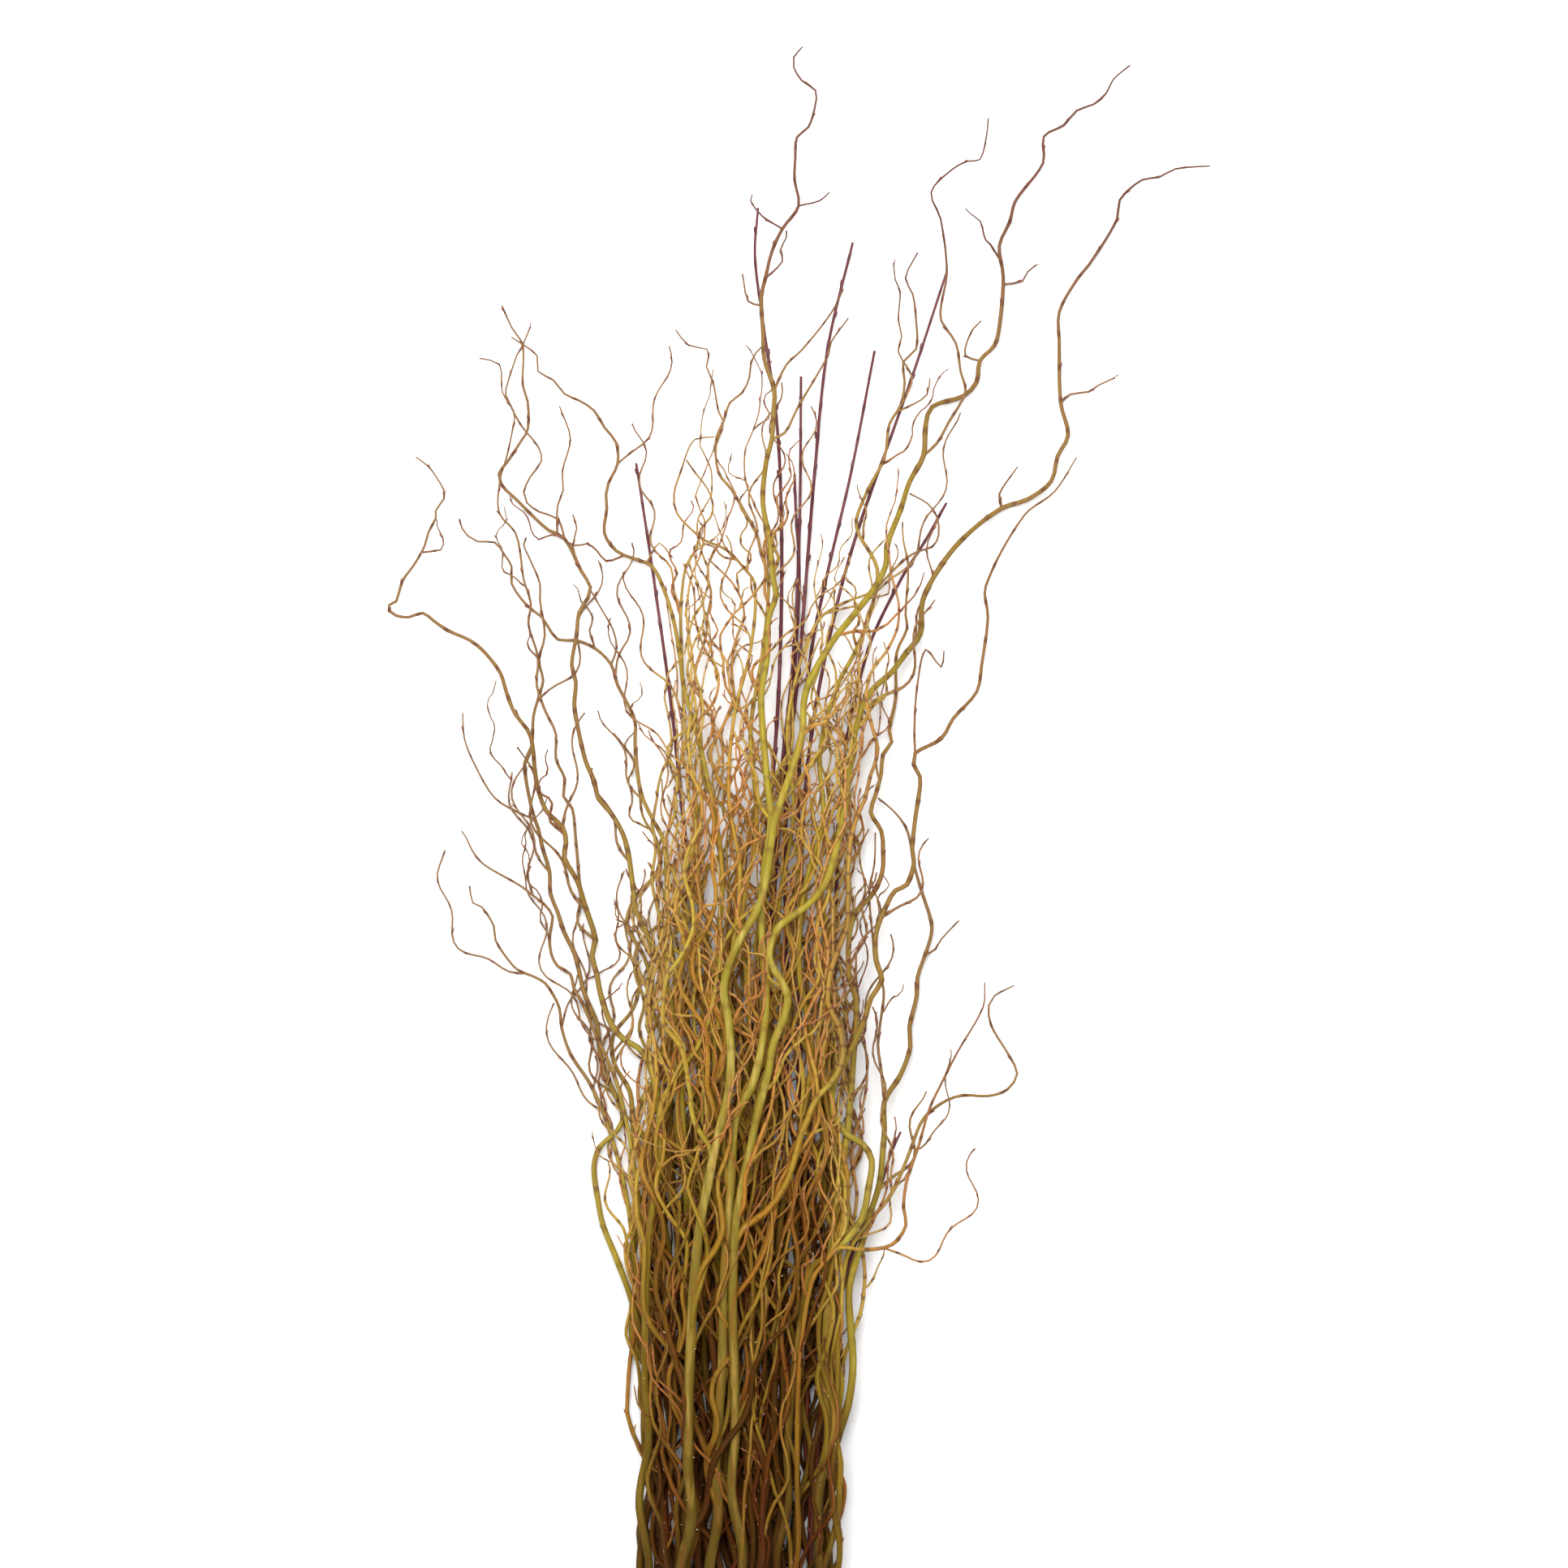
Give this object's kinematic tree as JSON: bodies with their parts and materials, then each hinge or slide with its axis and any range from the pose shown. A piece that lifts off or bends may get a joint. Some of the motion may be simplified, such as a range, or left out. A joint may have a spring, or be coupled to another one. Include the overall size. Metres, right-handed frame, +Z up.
{
  "type": "willow stems",
  "caption": "Loose cut bunch of bare curly willow stems with straight dark red canes among them, laid down on its side.",
  "frame": {"origin": "middle of the bunch's outline in plan, on the surface that it lies on", "axes": "+Y from the cut ends to the tips, +Z up from the surface, +X to the right as in the picture"},
  "size_m": [0.8127, 1.6285, 0.1302],
  "materials": {
    "olive_bark": "satin",
    "red_bark": "satin"
  },
  "bodies": {
    "root": {"curly_stem_01": "olive_bark", "curly_stem_02": "olive_bark", "curly_stem_03": "olive_bark", "curly_stem_04": "olive_bark", "curly_stem_05": "olive_bark", "curly_stem_06": "olive_bark", "curly_stem_07": "olive_bark", "curly_stem_08": "olive_bark", "curly_stem_09": "olive_bark", "curly_stem_10": "olive_bark", "curly_stem_11": "olive_bark", "curly_stem_12": "olive_bark", "curly_stem_13": "olive_bark", "curly_stem_14": "olive_bark", "curly_stem_15": "olive_bark", "curly_stem_16": "olive_bark", "curly_stem_17": "olive_bark", "curly_stem_18": "olive_bark", "curly_stem_19": "olive_bark", "curly_stem_20": "olive_bark", "curly_stem_21": "olive_bark", "curly_stem_22": "olive_bark", "curly_stem_23": "olive_bark", "curly_stem_24": "olive_bark", "curly_stem_25": "olive_bark", "curly_stem_26": "olive_bark", "curly_stem_27": "olive_bark", "curly_stem_28": "olive_bark", "curly_stem_29": "olive_bark", "curly_stem_30": "olive_bark", "curly_stem_31": "olive_bark", "curly_stem_32": "olive_bark", "curly_stem_33": "olive_bark", "curly_stem_34": "olive_bark", "curly_stem_35": "olive_bark", "curly_stem_36": "olive_bark", "curly_stem_37": "olive_bark", "curly_stem_38": "olive_bark", "curly_stem_39": "olive_bark", "curly_stem_40": "olive_bark", "curly_stem_41": "olive_bark", "curly_stem_42": "olive_bark", "straight_cane_01": "red_bark", "straight_cane_02": "red_bark", "straight_cane_03": "red_bark", "straight_cane_04": "red_bark", "straight_cane_05": "red_bark", "straight_cane_06": "red_bark", "straight_cane_07": "red_bark", "straight_cane_08": "red_bark", "straight_cane_09": "red_bark"}
  },
  "joints": []
}
